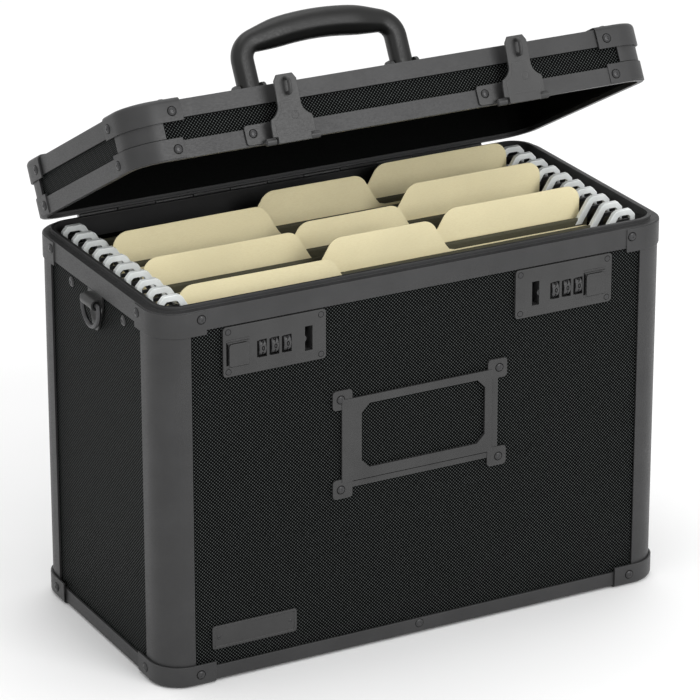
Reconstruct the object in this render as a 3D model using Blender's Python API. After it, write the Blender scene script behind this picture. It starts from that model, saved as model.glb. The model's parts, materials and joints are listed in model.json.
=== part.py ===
"""Portable locking file tote: laminate panels in riveted metal trim, with hanging folders.

Sizes are in millimetres and the helpers scale them to metres. +X is the case's right,
-Y its front and +Z up. Every piece is drawn with the lid shut, about a point on the floor
under the middle of the case. The lid's pivot then swings it open, and the case's pivot moves
the whole forward, so that the origin is under the middle of the open case and lid together.
"""
import math

import bmesh
import bpy
from mathutils import Matrix, Vector

MM = 0.001

# The case
WIDTH = 349.0
DEPTH = 176.0
BASE_HEIGHT = 240.0
LID_HEIGHT = 35.0
LID_OPEN = math.radians(28.7)
CORNER_RADIUS = 19.0
TRIM = 1.5
PANEL = 3.5
GAP = 0.3
CAP_PROUD = 1.6
ARC_STEPS = 9
ARC_OFFSET = 4.6
STANCE = 8.3

HALF_W = WIDTH / 2
HALF_D = DEPTH / 2
FLOOR = CAP_PROUD
RIM_TOP = FLOOR + BASE_HEIGHT
PANEL_OUT = TRIM + GAP
PANEL_IN = PANEL_OUT + PANEL

# Trim bands and corner pieces
RIM_BAND = 13.0
FOOT_BAND = 9.0
LID_TOP_BAND = 10.7
LID_LOW_BAND = 10.6
LID_START = RIM_TOP + 0.4
LID_TOP = RIM_TOP + LID_HEIGHT
POST_FRONT = 21.0
POST_SIDE = 25.0
POST_WEB = PANEL_IN
BRACKET_ARM = 31.0
BRACKET_PROUD = 0.8
CAP_ARM = 34.0
CAP_SKIRT = 12.4
CAP_FLANGE = 10.0
CAP_ROUNDING = 3.0

# Tongue on the case rim, which the lid's lower rim closes around
CHANNEL_WALL = 1.2
TONGUE_OUT = 4.6
TONGUE_IN = PANEL_IN + GAP + CHANNEL_WALL
TONGUE_RISE = 2.4

# Piano hinge along the back
HINGE_Y = HALF_D + 2.9
HINGE_LENGTH = 286.0
HINGE_KNUCKLES = 11
KNUCKLE_RADIUS = 2.4
KNUCKLE_BORE = 1.5
HINGE_PIN_RADIUS = 1.15
LEAF = 1.0
LEAF_HEIGHT = 13.0

# Combination locks: plate centres, and the features along each plate
PLATE_X = 99.0
PLATE_Z = FLOOR + 210.5
PLATE_SIZE = (68.0, 31.5)
PLATE = 2.0
PLATE_FRONT = -HALF_D - 0.5
PLATE_BACK = PLATE_FRONT + PLATE
HOUSING = (66.4, 25.0)
HOUSING_BACK = -74.0
DIAL_RADIUS = 6.0
DIAL_WIDTH = 4.6
DIAL_BORE = 1.9
DIAL_PITCH = 8.2
DIAL_PROUD = 0.9
DIAL_DROP = 1.5
AXLE_RADIUS = 1.5
DIAL_Y = PLATE_FRONT + DIAL_RADIUS - DIAL_PROUD
SLOT = (5.0, 15.5)
SLIDE_FACE = (12.7, 14.0)
SLIDE_PROUD = 0.9
SLIDE_STEM = (4.0, 5.0)
SLIDE_KEEPER = (8.0, 8.0)
SLIDE_RUN = 0.4
SLIDE_TRAVEL = 3.0
SLIDE_DROP = 2.2
LOCKS = {
    "left": {"x": -PLATE_X, "dials": 0.2, "slot": 22.5, "slide": -22.6},
    "right": {"x": PLATE_X, "dials": 2.4, "slot": -19.9, "slide": 23.5},
}

# Hasps on the lid's front, which swing down into the lock slots
HASP_PIN_Y = -HALF_D - 4.3
HASP_PIN_Z = RIM_TOP + 0.6
HASP_LEAN = math.radians(7.0)
HASP_PLATE = 1.6
HASP_SHOULDER = (14.0, 9.0)
HASP_HEEL = (10.8, -2.0)
HASP_NECK = (7.4, 34.5)
HASP_HEAD = (5.2, 38.0)
HASP_STAPLE = (2.6, 25.0, 36.5, 6.0)
HASP_BASE = (-28.0, 17.5)
HASP_BASE_HEIGHT = 12.2
HASP_KNUCKLE = 2.2
HASP_BORE = 1.3
HASP_PIN = 0.95

# Carrying handle
HANDLE_X = 53.0
HANDLE_LEG = 14.0
HANDLE_RISE = 55.0
HANDLE_PIVOT_Z = LID_TOP + 9.9
HANDLE_GRIP = 18.6
HANDLE_BORE = 2.4
HANDLE_PIN = 2.0

# Label holder, name plate and strap rings
LABEL_Z = FLOOR + 136.0
LABEL_SIZE = (108.0, 58.0)
NAME_PLATE = (-142.0, -85.0, FLOOR + 19.5, FLOOR + 34.7)
RING_Z = FLOOR + 221.0
RING_WIRE = 1.6
RING_STANDOFF = 4.5

# Hanging folders on their rails
RAIL_X = 158.5
RAIL_REACH = 71.0
RAIL_TOP = FLOOR + 234.0
FOLDER_COUNT = 5
FOLDER_PITCH = 30.0
FOLDER_FIRST_Y = -57.0
FOLDER_HALF_WIDTH = 147.5
HOOK_HALF_WIDTH = 163.5
SHEET_SPREAD = 15.0
FOLDER_MARGIN = 1.0
FRONT_FILE = 5.0
FOLD_HALF = 3.0
HOOK_TOP = RAIL_TOP + 9.0
FOLDER_BOTTOM = FLOOR + 8.5
TAB_TOP = FLOOR + 250.0

FINISHES = {
    "trim": ((0.070, 0.070, 0.072, 1), 0.42, 0.6),
    "laminate": ((0.014, 0.015, 0.015, 1), 0.55, 0.0),
    "hardware": ((0.075, 0.075, 0.075, 1), 0.38, 0.6),
    "handle": ((0.045, 0.045, 0.044, 1), 0.5, 0.0),
    "dial": ((0.06, 0.06, 0.06, 1), 0.45, 0.3),
    "steel": ((0.35, 0.35, 0.34, 1), 0.35, 0.9),
    "paper": ((0.74, 0.66, 0.40, 1), 0.8, 0.0),
}


def clear_scene():
    """Remove what the new file starts with."""
    for obj in list(bpy.context.scene.objects):
        bpy.data.objects.remove(obj, do_unlink=True)


def new_collection(name):
    collection = bpy.data.collections.new(name)
    bpy.context.scene.collection.children.link(collection)
    return collection


def finish_material(name):
    """A Principled material for one finish, made once."""
    found = bpy.data.materials.get(name)
    if found:
        return found
    colour, roughness, metallic = FINISHES[name]
    material = bpy.data.materials.new(name)
    material.use_nodes = True
    shader = material.node_tree.nodes["Principled BSDF"]
    shader.inputs["Base Color"].default_value = colour
    shader.inputs["Roughness"].default_value = roughness
    shader.inputs["Metallic"].default_value = metallic
    return material


class Body:
    """A rigid body: an empty on its joint's axis, which its pieces hang from."""

    def __init__(self, name, origin, parent=None, tilt=0.0):
        self.origin = Vector(origin)
        self.empty = bpy.data.objects.new(name + "_pivot", None)
        self.empty.empty_display_size = 0.02
        start = Vector((0, 0, 0))
        if parent:
            self.empty.parent = parent.empty
            start = parent.origin
        self.empty.location = (self.origin - start) * MM
        self.empty.rotation_euler.x = tilt
        PARTS.objects.link(self.empty)


def to_object(name, bm, body, collection):
    """Turn a mesh drawn in case millimetres into an object under its body's pivot."""
    bmesh.ops.translate(bm, verts=bm.verts, vec=-body.origin)
    bmesh.ops.scale(bm, verts=bm.verts, vec=(MM, MM, MM))
    mesh = bpy.data.meshes.new(name)
    bm.to_mesh(mesh)
    bm.free()
    obj = bpy.data.objects.new(name, mesh)
    obj.parent = body.empty
    collection.objects.link(obj)
    return obj


def piece(name, bm, finish, body, cut=(), join=(), then_cut=(), then_join=()):
    """A named sub-part: its mesh, then cuts, joins, cuts and joins as Booleans."""
    obj = to_object(name, bm, body, PARTS)
    obj.data.materials.append(finish_material(finish))
    steps = [("DIFFERENCE", tool) for tool in cut]
    steps += [("UNION", tool) for tool in join]
    steps += [("DIFFERENCE", tool) for tool in then_cut]
    steps += [("UNION", tool) for tool in then_join]
    for count, (operation, tool) in enumerate(steps):
        helper = to_object(f"{name}_tool_{count}", tool, body, CUTTERS)
        helper.hide_render = True
        helper.display_type = "WIRE"
        modifier = obj.modifiers.new(f"step {count}", "BOOLEAN")
        modifier.operation = operation
        modifier.solver = "EXACT"
        modifier.object = helper
    obj.data.shade_smooth()
    obj.data.set_sharp_from_angle(angle=math.radians(32))
    return obj


def block(low, high):
    """A closed box between two corners."""
    low, high = Vector(low), Vector(high)
    bm = bmesh.new()
    matrix = Matrix.Translation((low + high) / 2) @ Matrix.Diagonal((*(high - low), 1))
    bmesh.ops.create_cube(bm, size=1, matrix=matrix)
    return bm


def round_edges(bm, edges, radius, steps):
    """Round some edges of a mesh, and return the mesh."""
    bmesh.ops.bevel(bm, geom=edges, offset=radius, offset_type="OFFSET", segments=steps,
                    profile=0.5, affect="EDGES", clamp_overlap=True)
    return bm


def edges_along(bm, axis):
    """The straight edges that run along one axis."""
    found = []
    for edge in bm.edges:
        run = edge.verts[1].co - edge.verts[0].co
        if abs(run[axis]) > 0.999 * run.length:
            found.append(edge)
    return found


def slab(low, high, radius, steps=3, axis=2):
    """A box whose edges along one axis are rounded."""
    bm = block(low, high)
    return round_edges(bm, edges_along(bm, axis), radius, steps)


def cylinder(centre, radius, length, axis, steps=16):
    """A closed cylinder along X, Y or Z."""
    bm = bmesh.new()
    turn = {0: Matrix.Rotation(math.pi / 2, 4, "Y"), 1: Matrix.Rotation(math.pi / 2, 4, "X"),
            2: Matrix.Identity(4)}[axis]
    bmesh.ops.create_cone(bm, cap_ends=True, segments=steps, radius1=radius, radius2=radius,
                          depth=length, matrix=Matrix.Translation(centre) @ turn)
    return bm


def curve_mesh(curve, matrix=None):
    """The closed mesh of a curve, its caps welded on."""
    holder = bpy.data.objects.new("curve", curve)
    bpy.context.scene.collection.objects.link(holder)
    graph = bpy.context.evaluated_depsgraph_get()
    mesh = bpy.data.meshes.new_from_object(holder.evaluated_get(graph))
    bm = bmesh.new()
    bm.from_mesh(mesh)
    bmesh.ops.remove_doubles(bm, verts=bm.verts, dist=0.001)
    if matrix:
        bmesh.ops.transform(bm, matrix=matrix, verts=bm.verts)
    bmesh.ops.recalc_face_normals(bm, faces=bm.faces)
    bpy.data.objects.remove(holder, do_unlink=True)
    bpy.data.meshes.remove(mesh)
    bpy.data.curves.remove(curve)
    return bm


def poly_curve(points, closed=True, flat=True):
    """A curve datablock through straight-joined points."""
    curve = bpy.data.curves.new("outline", "CURVE")
    curve.dimensions = "2D" if flat else "3D"
    spline = curve.splines.new("POLY")
    spline.points.add(len(points) - 1)
    for target, point in zip(spline.points, points):
        target.co = (*point, 1) if len(point) == 3 else (*point, 0, 1)
    spline.use_cyclic_u = closed
    return curve


def outline(points, low, high, axis=2):
    """A flat outline thickened from low to high along an axis.

    The outline's two coordinates are the two other axes, in X, Y, Z order.
    """
    curve = poly_curve(points)
    curve.fill_mode = "BOTH"
    curve.extrude = (high - low) / 2
    columns = {0: ((0, 0, 1), (1, 0, 0), (0, 1, 0)), 1: ((1, 0, 0), (0, 0, 1), (0, 1, 0)),
               2: ((1, 0, 0), (0, 1, 0), (0, 0, 1))}[axis]
    shift = Vector((0, 0, 0))
    shift[axis] = (low + high) / 2
    return curve_mesh(curve, Matrix.Translation(shift) @ Matrix(columns).to_4x4())


def tube(points, radius, sides=2, closed=False):
    """A round wire through points."""
    curve = poly_curve(points, closed, flat=False)
    curve.bevel_depth = radius
    curve.bevel_resolution = sides
    curve.use_fill_caps = not closed
    return curve_mesh(curve)


def arc(centre, radius, start, end, steps):
    """Points on an arc, angles in degrees."""
    found = []
    for step in range(steps + 1):
        angle = math.radians(start + (end - start) * step / steps)
        found.append((centre[0] + radius * math.cos(angle), centre[1] + radius * math.sin(angle)))
    return found


def rounded_rectangle(half_w, half_d, radius):
    """Points round a rectangle with round corners, anticlockwise."""
    x, y = half_w - radius, half_d - radius
    points = arc((x, y), radius, 0, 90, ARC_STEPS)
    points += arc((-x, y), radius, 90, 180, ARC_STEPS)
    points += arc((-x, -y), radius, 180, 270, ARC_STEPS)
    points += arc((x, -y), radius, 270, 360, ARC_STEPS)
    return points


def trim_ring(section):
    """A section of (inset from the outer face, height) points, swept round the case."""
    path = poly_curve(rounded_rectangle(HALF_W, HALF_D, CORNER_RADIUS))
    profile = poly_curve(section)
    shape = bpy.data.objects.new("section", profile)
    bpy.context.scene.collection.objects.link(shape)
    path.bevel_mode = "OBJECT"
    path.bevel_object = shape
    bm = curve_mesh(path)
    bpy.data.objects.remove(shape, do_unlink=True)
    bpy.data.curves.remove(profile)
    return bm


def at_corner(points, side, end):
    """Points drawn from an outer corner inwards, moved to one of the four corners."""
    return [(side * (HALF_W - x), end * (HALF_D - y)) for x, y in points]


def corner_skin(side, end, low, high, arm_x, arm_y, proud, depth, web=None, offset=0.0):
    """A curved corner strip: thin arms along both walls, and a round corner.

    The offset turns its arc points away from those of a swept ring it is joined to.
    """
    web = web or depth
    middle = (CORNER_RADIUS, CORNER_RADIUS)
    start, stop = 270 - offset, 180 + offset
    points = [(arm_x, depth), (arm_x, -proud)]
    points += arc(middle, CORNER_RADIUS + proud, start, stop, ARC_STEPS - 1)
    points += [(-proud, arm_y), (depth, arm_y)]
    if web > depth:
        points += [(depth, CORNER_RADIUS)]
    points += arc(middle, CORNER_RADIUS - web, stop, start, ARC_STEPS - 1)
    if web > depth:
        points += [(CORNER_RADIUS, depth)]
    return outline(at_corner(points, side, end), low, high)


def corner_cap(side, end, edge_z, up):
    """A pressed cap over a three-way corner; up is 1 for the lid's top, -1 for the foot."""
    bm = block((-CAP_PROUD, -CAP_PROUD, -CAP_SKIRT), (CAP_ARM, CAP_ARM, CAP_PROUD))
    upright = [e for e in edges_along(bm, 2) if all(v.co.x < 0 and v.co.y < 0 for v in e.verts)]
    round_edges(bm, upright, CORNER_RADIUS + CAP_PROUD, ARC_STEPS)
    top = [e for e in bm.edges
           if all(v.co.z > 0 for v in e.verts) and all(min(v.co.x, v.co.y) < CORNER_RADIUS
                                                       for v in e.verts)
           and not all(v.co.x > CAP_ARM - 1 for v in e.verts)
           and not all(v.co.y > CAP_ARM - 1 for v in e.verts)]
    round_edges(bm, top, CAP_ROUNDING, 4)
    hollow = block((-GAP, -GAP, -2 * CAP_SKIRT), (2 * CAP_ARM, 2 * CAP_ARM, GAP))
    inner = [e for e in edges_along(hollow, 2) if all(v.co.x < 0 and v.co.y < 0 for v in e.verts)]
    round_edges(hollow, inner, CORNER_RADIUS + GAP, ARC_STEPS)
    opening = block((CAP_FLANGE, CAP_FLANGE, -5), (2 * CAP_ARM, 2 * CAP_ARM, 5))
    opening_corner = [e for e in edges_along(opening, 2)
                      if all(v.co.x < CAP_ARM and v.co.y < CAP_ARM for v in e.verts)]
    round_edges(opening, opening_corner, CORNER_RADIUS - CAP_FLANGE + 8, ARC_STEPS)
    place = (Matrix.Translation((side * HALF_W, end * HALF_D, edge_z))
             @ Matrix.Diagonal((-side, -end, up, 1)))
    for mesh in (bm, hollow, opening):
        bmesh.ops.transform(mesh, matrix=place, verts=mesh.verts)
        bmesh.ops.recalc_face_normals(mesh, faces=mesh.faces)
    return bm, hollow, opening


def each_corner():
    """Name and signs of the four corners."""
    for end, place in ((-1, "front"), (1, "back")):
        for side, hand in ((-1, "left"), (1, "right")):
            yield f"{place}_{hand}", side, end


def make_case_panels(case):
    """The five laminate boards of the case."""
    low, high = FLOOR + TRIM + GAP, RIM_TOP - TRIM - GAP
    floor_top = low + PANEL
    wall_low = floor_top + GAP
    run_x = HALF_W - CORNER_RADIUS - GAP
    run_y = HALF_D - CORNER_RADIUS - GAP
    half = (HALF_W - PANEL_OUT, HALF_D - PANEL_OUT)
    floor = slab((-half[0], -half[1], low), (*half, floor_top), CORNER_RADIUS - PANEL_OUT, ARC_STEPS)
    piece("bottom_panel", floor, "laminate", case)
    pockets = []
    for lock in LOCKS.values():
        reach = (HOUSING[0] / 2 + GAP, HOUSING[1] / 2 + GAP)
        pockets.append(block((lock["x"] - reach[0], -HALF_D, PLATE_Z - reach[1]),
                             (lock["x"] + reach[0], -HALF_D + 10, PLATE_Z + reach[1])))
    front = block((-run_x, -HALF_D + PANEL_OUT, wall_low), (run_x, -HALF_D + PANEL_IN, high))
    piece("front_panel", front, "laminate", case, cut=pockets)
    back = block((-run_x, HALF_D - PANEL_IN, wall_low), (run_x, HALF_D - PANEL_OUT, high))
    piece("back_panel", back, "laminate", case)
    for side, hand in ((-1, "left"), (1, "right")):
        x = sorted((side * (HALF_W - PANEL_IN), side * (HALF_W - PANEL_OUT)))
        wall = block((x[0], -run_y, wall_low), (x[1], run_y, high))
        piece(f"{hand}_panel", wall, "laminate", case)


def make_case_trim(case):
    """Corner posts, the channel round the mouth, the foot angle and the foot caps."""
    band_low = RIM_TOP - RIM_BAND
    bracket_low = band_low - 2.6
    for name, side, end in each_corner():
        post = corner_skin(side, end, FLOOR + FOOT_BAND + GAP, bracket_low - GAP,
                           POST_FRONT, POST_SIDE, 0, TRIM, POST_WEB)
        piece(f"post_{name}", post, "trim", case)
        cap, hollow, opening = corner_cap(side, end, FLOOR, -1)
        piece(f"foot_cap_{name}", cap, "trim", case, cut=(hollow, opening))
    inner = TONGUE_IN - CHANNEL_WALL
    channel = [(0, band_low), (TRIM, band_low), (TRIM, RIM_TOP - TRIM), (inner, RIM_TOP - TRIM),
               (inner, band_low + 2), (TONGUE_IN, band_low + 2), (TONGUE_IN, RIM_TOP + TONGUE_RISE),
               (TONGUE_OUT, RIM_TOP + TONGUE_RISE), (TONGUE_OUT, RIM_TOP), (0, RIM_TOP)]
    brackets = [corner_skin(side, end, bracket_low, RIM_TOP - 0.6, BRACKET_ARM, BRACKET_ARM,
                            BRACKET_PROUD, 0.9, offset=ARC_OFFSET) for _, side, end in each_corner()]
    piece("case_rim", trim_ring(channel), "trim", case, join=brackets)
    angle = [(0, FLOOR), (14, FLOOR), (14, FLOOR + TRIM), (TRIM, FLOOR + TRIM),
             (TRIM, FLOOR + FOOT_BAND), (0, FLOOR + FOOT_BAND)]
    piece("foot_frame", trim_ring(angle), "trim", case)


def make_lid(lid):
    """The lid's board, its side band, its trims, posts and caps."""
    board_top = LID_TOP - TRIM - GAP
    inset = PANEL_OUT + 3.0
    half = (HALF_W - inset - GAP, HALF_D - inset - GAP)
    board = slab((-half[0], -half[1], board_top - PANEL), (*half, board_top),
                 CORNER_RADIUS - inset - GAP, ARC_STEPS)
    piece("lid_board", board, "laminate", lid)
    band_low = RIM_TOP + 3.6
    band = [(PANEL_OUT, band_low), (inset, band_low), (inset, board_top), (PANEL_OUT, board_top)]
    piece("lid_side_band", trim_ring(band), "laminate", lid)
    low_top = LID_START + LID_LOW_BAND
    lip = 3.9
    lower = [(0, LID_START), (lip, LID_START), (lip, LID_START + 1.2), (TRIM, LID_START + 1.2),
             (TRIM, low_top), (0, low_top)]
    brackets = [corner_skin(side, end, LID_START + 0.6, low_top + 1.8, BRACKET_ARM, BRACKET_ARM,
                            BRACKET_PROUD, 0.9, offset=ARC_OFFSET) for _, side, end in each_corner()]
    piece("lid_lower_rim", trim_ring(lower), "trim", lid, join=brackets)
    top_low = LID_TOP - LID_TOP_BAND
    upper = [(0, top_low), (TRIM, top_low), (TRIM, LID_TOP - TRIM), (12, LID_TOP - TRIM),
             (12, LID_TOP), (0, LID_TOP)]
    piece("lid_top_frame", trim_ring(upper), "trim", lid)
    for name, side, end in each_corner():
        post = corner_skin(side, end, low_top + 1.8 + GAP, top_low - GAP, POST_FRONT, POST_SIDE,
                           0, TRIM)
        piece(f"lid_post_{name}", post, "trim", lid)
        cap, hollow, opening = corner_cap(side, end, LID_TOP, 1)
        piece(f"lid_cap_{name}", cap, "trim", lid, cut=(hollow, opening))


def make_hinge(case, lid):
    """A piano hinge: two leaves with alternating knuckles, and its pin."""
    run = HINGE_LENGTH / HINGE_KNUCKLES
    leaf_y = (HALF_D + GAP, HALF_D + GAP + LEAF)
    clear = KNUCKLE_RADIUS + 0.4
    for name, body, sign, first in (("hinge_leaf_case", case, -1, 0), ("hinge_leaf_lid", lid, 1, 1)):
        ends = sorted((RIM_TOP + sign * clear, RIM_TOP + sign * (clear + LEAF_HEIGHT)))
        leaf = block((-HINGE_LENGTH / 2, leaf_y[0], ends[0]), (HINGE_LENGTH / 2, leaf_y[1], ends[1]))
        joins, bores = [], []
        for count in range(first, HINGE_KNUCKLES, 2):
            x = -HINGE_LENGTH / 2 + run * (count + 0.5)
            reach = sorted((RIM_TOP, RIM_TOP + sign * (clear + 1)))
            joins.append(block((x - run / 2 + GAP, leaf_y[0], reach[0]),
                               (x + run / 2 - GAP, leaf_y[1], reach[1])))
            joins.append(cylinder((x, HINGE_Y, RIM_TOP), KNUCKLE_RADIUS, run - 2 * GAP, 0))
            bores.append(cylinder((x, HINGE_Y, RIM_TOP), KNUCKLE_BORE, run, 0, 12))
        piece(name, leaf, "hardware", body, join=joins, then_cut=bores)
    pin = cylinder((0, HINGE_Y, RIM_TOP), HINGE_PIN_RADIUS, HINGE_LENGTH, 0, 12)
    piece("hinge_pin", pin, "steel", case)


def around(x, z, size, ends):
    """The corners of a box about a point of the front wall, between two depths."""
    reach = (size[0] / 2, size[1] / 2)
    return (Vector((x - reach[0], ends[0], z - reach[1])),
            Vector((x + reach[0], ends[1], z + reach[1])))


def make_lock(hand, lock, case):
    """One combination lock: plate with its housing, dials and thumb slide."""
    x, z = lock["x"], PLATE_Z
    plate = slab((x - PLATE_SIZE[0] / 2, PLATE_FRONT, z - PLATE_SIZE[1] / 2),
                 (x + PLATE_SIZE[0] / 2, PLATE_BACK, z + PLATE_SIZE[1] / 2), 2.0, 3, axis=1)
    housing = block((x - HOUSING[0] / 2, PLATE_BACK - 0.5, z - HOUSING[1] / 2),
                    (x + HOUSING[0] / 2, HOUSING_BACK, z + HOUSING[1] / 2))
    dial_z = z - DIAL_DROP
    dial_x = [x + lock["dials"] + DIAL_PITCH * step for step in (-1, 0, 1)]
    front = PLATE_FRONT - 1
    cavities = []
    for centre in dial_x:
        cavities.append(block((centre - DIAL_WIDTH / 2 - 0.4, front, dial_z - 5.6),
                              (centre + DIAL_WIDTH / 2 + 0.4, PLATE_BACK + 0.6, dial_z + 5.6)))
    spread = DIAL_PITCH + DIAL_WIDTH / 2 + 0.6
    well = block((dial_x[1] - spread, PLATE_BACK, dial_z - DIAL_RADIUS - 0.8),
                 (dial_x[1] + spread, DIAL_Y + DIAL_RADIUS + 0.8, dial_z + DIAL_RADIUS + 0.8))
    cavities.append(well)
    slot_x = x + lock["slot"]
    cavities.append(block((slot_x - SLOT[0] / 2, front, z - 1 - SLOT[1] / 2),
                          (slot_x + SLOT[0] / 2, HOUSING_BACK - 2, z - 1 + SLOT[1] / 2)))
    bed = PLATE_BACK + 2.3
    grip_x = x + lock["slide"] - SLIDE_TRAVEL / 2
    grip_z = z - SLIDE_DROP
    for size, ends in ((SLIDE_STEM, (front, PLATE_BACK + 0.6)), (SLIDE_KEEPER, (PLATE_BACK, bed))):
        low, high = around(grip_x, grip_z, (size[0] + 2 * SLIDE_RUN, size[1] + 2 * SLIDE_RUN), ends)
        high.x += SLIDE_TRAVEL
        cavities.append(block(low, high))
    axle = cylinder((dial_x[1], DIAL_Y, dial_z), AXLE_RADIUS, 2 * spread + 2, 0, 12)
    piece(f"lock_{hand}", plate, "hardware", case, join=(housing,), then_cut=cavities,
          then_join=(axle,))
    for count, centre in enumerate(dial_x):
        dial = Body(f"dial_{hand}_{count + 1}", (centre, DIAL_Y, dial_z), case)
        wheel = cylinder((centre, DIAL_Y, dial_z), DIAL_RADIUS, DIAL_WIDTH, 0, 20)
        bore = cylinder((centre, DIAL_Y, dial_z), DIAL_BORE, DIAL_WIDTH + 2, 0, 12)
        piece(f"dial_{hand}_{count + 1}", wheel, "dial", dial, cut=(bore,))
    slide = Body(f"slide_{hand}", (grip_x, PLATE_FRONT, grip_z), case)
    low, high = around(grip_x, grip_z, SLIDE_FACE, (PLATE_FRONT - GAP - SLIDE_PROUD, PLATE_FRONT - GAP))
    stem = block(*around(grip_x, grip_z, SLIDE_STEM, (PLATE_FRONT - GAP - 0.4, bed - GAP)))
    keeper = block(*around(grip_x, grip_z, SLIDE_KEEPER, (PLATE_BACK + GAP, bed - GAP)))
    piece(f"slide_{hand}", slab(low, high, 1.6, 3, axis=1), "hardware", slide, join=(stem, keeper))


def hasp_outline(x, z):
    """The hasp's plate: a heel behind its knuckle, wide shoulders, and a chamfered head."""
    wide, flare = HASP_SHOULDER
    heel, drop = HASP_HEEL
    right = [(heel, drop), (heel, 1.9), (wide, 2.3), (wide, flare)]
    right += arc((wide + 2.5, flare + 12.0), 9.0, 250, 190, 5)
    right += [HASP_NECK, HASP_HEAD]
    left = [(-u, v) for u, v in reversed(right)]
    return [(x + u, z + v) for u, v in right + left]


def make_hasp(hand, lock, lid):
    """One hasp and its hinge plate on the lid's lower rim."""
    x, y, z = lock["x"] + lock["slot"], HASP_PIN_Y, HASP_PIN_Z
    plate_y = (-HALF_D - GAP - 1.2, -HALF_D - GAP)
    base = slab((x + HASP_BASE[0], plate_y[0], z + 0.4),
                (x + HASP_BASE[1], plate_y[1], z + HASP_BASE_HEIGHT), 1.5, 2, axis=1)
    pin = cylinder((x, y, z), HASP_PIN, 2 * 17.0, 0, 10)
    joins = [pin]
    for start, stop in ((-17.5, -11.3), (11.3, 17.5)):
        joins.append(block((x + start, y, z), (x + stop, plate_y[1], z + 2)))
        joins.append(cylinder((x + (start + stop) / 2, y, z), HASP_KNUCKLE, stop - start, 0, 14))
    notch = block((x - 11.0, plate_y[0] - 2, z - 3), (x + 11.0, plate_y[1] + 1, z + 3.3))
    piece(f"hasp_hinge_{hand}", base, "hardware", lid, cut=(notch,), join=joins)

    hasp = Body(f"hasp_{hand}", (x, y, z), lid, tilt=HASP_LEAN)
    front = y - HASP_KNUCKLE + 0.3
    plate = outline(hasp_outline(x, z), front - HASP_PLATE, front, axis=1)
    width, low, high, reach = HASP_STAPLE
    staple = slab((x - width / 2, front - HASP_PLATE - reach, z + low),
                  (x + width / 2, front - 0.5, z + high), 1.1, 2, axis=0)
    eye = block((x - width, front - HASP_PLATE - reach + 1.8, z + low + 3.2),
                (x + width, front - HASP_PLATE - 0.4, z + high - 3.2))
    knuckle = cylinder((x, y, z), HASP_KNUCKLE, 21.4, 0, 14)
    bore = cylinder((x, y, z), HASP_BORE, 30, 0, 10)
    piece(f"hasp_{hand}", plate, "hardware", hasp, join=(staple, knuckle), then_cut=(eye, bore))


def make_handle(lid):
    """The arched grip, its pivots and the two brackets that hold it."""
    handle = Body("handle", (0, 0, HANDLE_PIVOT_Z), lid)
    top = LID_TOP + HANDLE_RISE
    half = HANDLE_LEG / 2
    outer_x, inner_x = HANDLE_X + half, HANDLE_X - half
    right = [(inner_x, HANDLE_PIVOT_Z), *arc((HANDLE_X, HANDLE_PIVOT_Z), half, 180, 360, 6)[1:]]
    right += arc((outer_x - 13, top - 17), 13, 0, 78, 6)
    right += [(18, top - 0.6), (0, top)]
    under = [(0, top - HANDLE_GRIP), (22, top - HANDLE_GRIP + 0.6)]
    under += arc((inner_x - 9, top - 26.5), 9, 80, 0, 4)
    shape = right + [(-x, z) for x, z in reversed(right[:-1])]
    shape += [(-x, z) for x, z in reversed(under[1:])] + under
    grip = outline(shape, -6.5, 6.5, axis=1)
    long_edges = [e for e in grip.edges if e.calc_length() > 0 and e.calc_face_angle(0) > 1.2
                  and abs(e.verts[0].co.y - e.verts[1].co.y) < 0.01]
    round_edges(grip, long_edges, 3.2, 2)
    pad = outline([(-38, top - 19.5), (-30, top - 20.6), (30, top - 20.6), (38, top - 19.5),
                   (44, top - 10), (36, top - 2.4), (-36, top - 2.4), (-44, top - 10)], -9, 9, axis=1)
    pad_edges = [e for e in pad.edges if e.calc_face_angle(0) > 1.2
                 and abs(e.verts[0].co.y - e.verts[1].co.y) < 0.01]
    round_edges(pad, pad_edges, 4.5, 3)
    bores = [cylinder((side * HANDLE_X, 0, HANDLE_PIVOT_Z), HANDLE_BORE, HANDLE_LEG + 2, 0, 12)
             for side in (-1, 1)]
    piece("handle", grip, "handle", handle, join=(pad,), then_cut=bores)
    seat = LID_TOP - TRIM
    for side, hand in ((-1, "left"), (1, "right")):
        x = side * HANDLE_X
        plate = slab((x - 15, -13, seat), (x + 15, 13, seat + 1.6), 3, 3)
        joins = []
        for cheek in (-1, 1):
            centre = x + cheek * (half + 1.6)
            ear = slab((centre - 1.1, -6, seat + 1), (centre + 1.1, 6, HANDLE_PIVOT_Z + 5), 4, 4, axis=0)
            joins.append(ear)
        joins.append(cylinder((x, 0, HANDLE_PIVOT_Z), HANDLE_PIN, HANDLE_LEG + 4.4, 0, 12))
        piece(f"handle_bracket_{hand}", plate, "hardware", lid, join=joins)


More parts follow.
